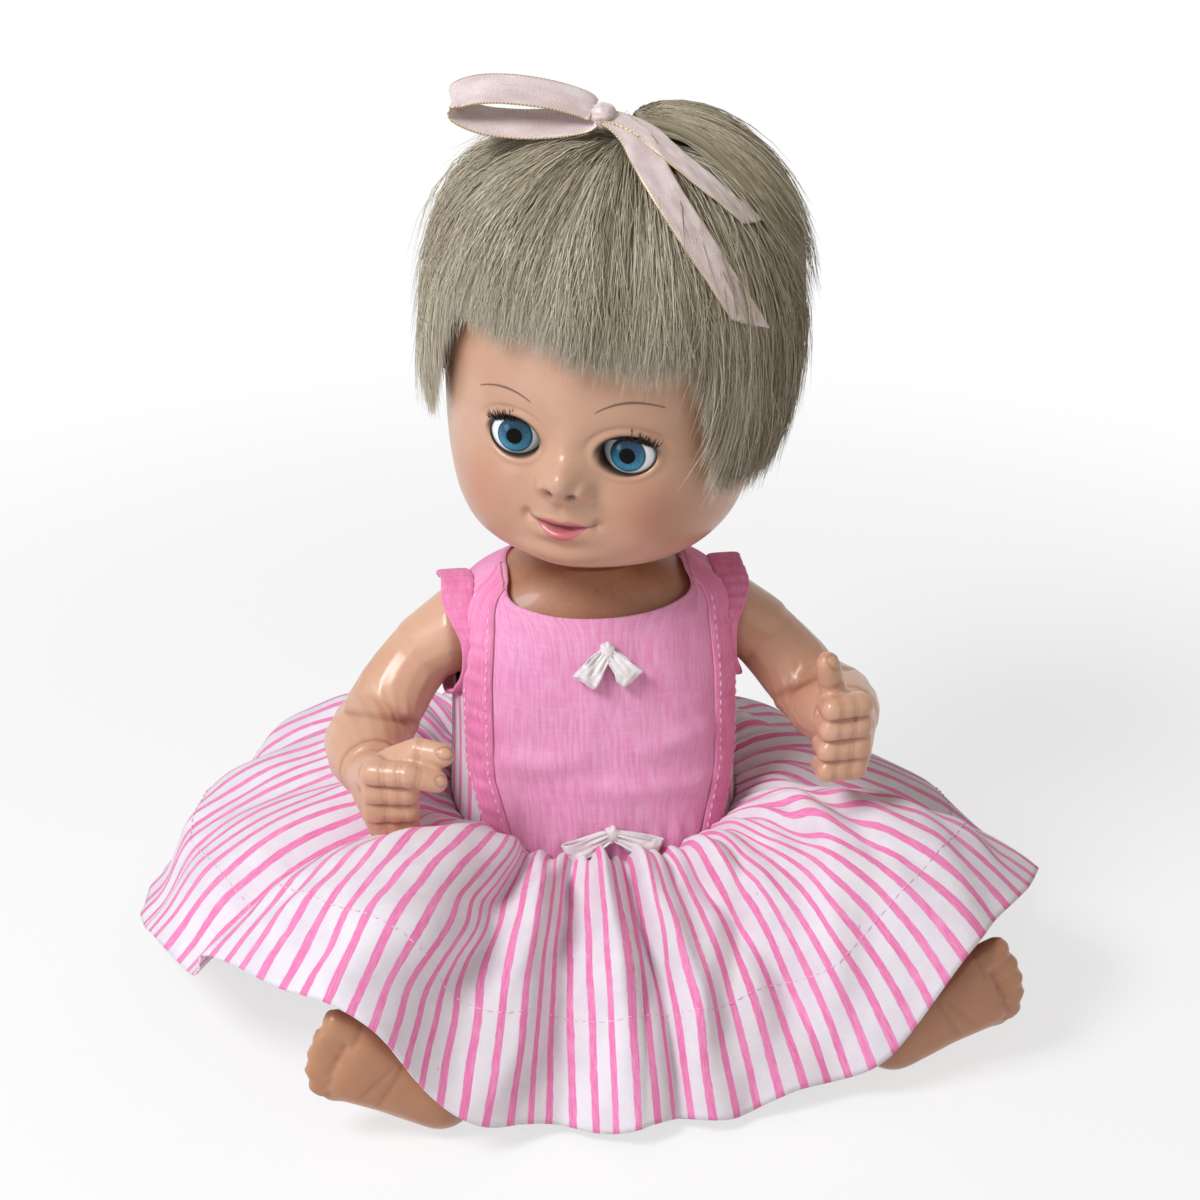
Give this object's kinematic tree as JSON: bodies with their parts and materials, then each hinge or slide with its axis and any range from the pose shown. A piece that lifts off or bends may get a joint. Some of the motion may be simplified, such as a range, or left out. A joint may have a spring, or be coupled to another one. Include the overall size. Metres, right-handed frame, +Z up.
{
  "type": "interactive baby doll",
  "caption": "Seated vinyl baby doll with sleep eyes, jointed head, arms and legs, rooted hair with a ribbon, a gathered striped dress and a battery sound unit in its torso",
  "frame": {"origin": "Centre of the flat seat on the floor, on the torso side seam plane and the neck axis", "axes": "+Z up, the torso faces -Y, +X is the left side of the doll"},
  "size_m": [0.3192, 0.2594, 0.3231],
  "materials": {
    "vinyl": "soft vinyl with a light gloss",
    "body_plastic": "moulded skin-tone plastic",
    "door_plastic": "moulded skin-tone plastic",
    "steel": "plated steel",
    "nylon": "natural nylon",
    "dark_plastic": "moulded black plastic",
    "cell_jacket": "printed jacket left plain",
    "board_green": "solder mask",
    "chip_black": "moulded epoxy",
    "speaker_steel": "painted pressed steel",
    "speaker_paper": "pressed paper pulp",
    "magnet": "sintered ferrite",
    "switch_red": "moulded red plastic",
    "pink_cotton": "plain pink cotton",
    "pink_binding": "folded pink bias binding",
    "striped_cotton": "white cotton with woven pink stripes",
    "white_satin": "white satin ribbon",
    "hair_satin": "pale satin ribbon",
    "hair": "rooted ash-blond fibre",
    "eye": "polished acrylic",
    "lash": "black fibre",
    "weight": "cast weight"
  },
  "bodies": {
    "torso": {"torso_front_shell": "body_plastic", "torso_rear_shell": "body_plastic", "shell_screws": "steel", "battery_door": "door_plastic", "door_screw": "steel", "battery_box": "dark_plastic", "battery_cells": "cell_jacket", "battery_contacts": "steel", "circuit_board": "board_green", "sound_chip": "chip_black", "tilt_switch": "steel", "speaker_frame": "speaker_steel", "speaker_cone": "speaker_paper", "speaker_magnet": "magnet", "switch_housing": "dark_plastic", "neck_bush": "nylon", "right_shoulder_bush": "nylon", "left_shoulder_bush": "nylon", "right_hip_bush": "nylon", "left_hip_bush": "nylon", "bodice": "striped_cotton", "bib_panel": "pink_cotton", "right_bib_binding": "pink_binding", "left_bib_binding": "pink_binding", "right_armhole_binding": "pink_binding", "left_armhole_binding": "pink_binding", "skirt": "striped_cotton", "chest_bow": "white_satin", "waist_bow": "white_satin"},
    "head": {"head_shell": "vinyl", "neck_spindle": "nylon", "hair_cap": "hair", "ponytail": "hair", "hair_ribbon": "hair_satin", "right_eye_casing": "nylon", "left_eye_casing": "nylon"},
    "right_eye": {"right_eyeball": "eye", "right_lashes": "lash", "right_eye_weight": "weight"},
    "left_eye": {"left_eyeball": "eye", "left_lashes": "lash", "left_eye_weight": "weight"},
    "right_arm": {"right_arm": "vinyl", "right_arm_hub": "nylon"},
    "left_arm": {"left_arm": "vinyl", "left_arm_hub": "nylon"},
    "right_leg": {"right_leg": "vinyl", "right_leg_hub": "nylon"},
    "left_leg": {"left_leg": "vinyl", "left_leg_hub": "nylon"},
    "power_switch": {"switch_knob": "switch_red"}
  },
  "joints": [
    {"name": "head_turn", "type": "hinge", "parent": "torso", "child": "head", "pos_m": [0, 0, 0.156], "axis": [0, 0, 1], "range_deg": [-38, 82]},
    {"name": "right_shoulder", "type": "hinge", "parent": "torso", "child": "right_arm", "pos_m": [-0.0455, 0, 0.127], "axis": [-1, 0, 0], "range_deg": [-1, 85]},
    {"name": "left_shoulder", "type": "hinge", "parent": "torso", "child": "left_arm", "pos_m": [0.0455, 0, 0.127], "axis": [-1, 0, 0], "range_deg": [-12, 72]},
    {"name": "right_hip", "type": "hinge", "parent": "torso", "child": "right_leg", "pos_m": [-0.04, 0, 0.028], "axis": [0.9397, 0, 0.342], "range_deg": [0, 90]},
    {"name": "left_hip", "type": "hinge", "parent": "torso", "child": "left_leg", "pos_m": [0.04, 0, 0.028], "axis": [0.9397, 0, -0.342], "range_deg": [0, 90]},
    {"name": "right_eye_tilt", "type": "hinge", "parent": "head", "child": "right_eye", "pos_m": [-0.02686, -0.02858, 0.21657], "axis": [0.9237, -0.3746, -0.0808], "range_deg": [0, 50]},
    {"name": "left_eye_tilt", "type": "hinge", "parent": "head", "child": "left_eye", "pos_m": [0.00824, -0.04281, 0.2135], "axis": [0.9237, -0.3746, -0.0808], "range_deg": [0, 50]},
    {"name": "power_slide", "type": "slide", "parent": "torso", "child": "power_switch", "axis": [1, 0, 0], "range_m": [0, 0.004]}
  ],
  "couplings": [
    {"joint": "left_eye_tilt", "follows": "right_eye_tilt", "ratio": 1}
  ]
}
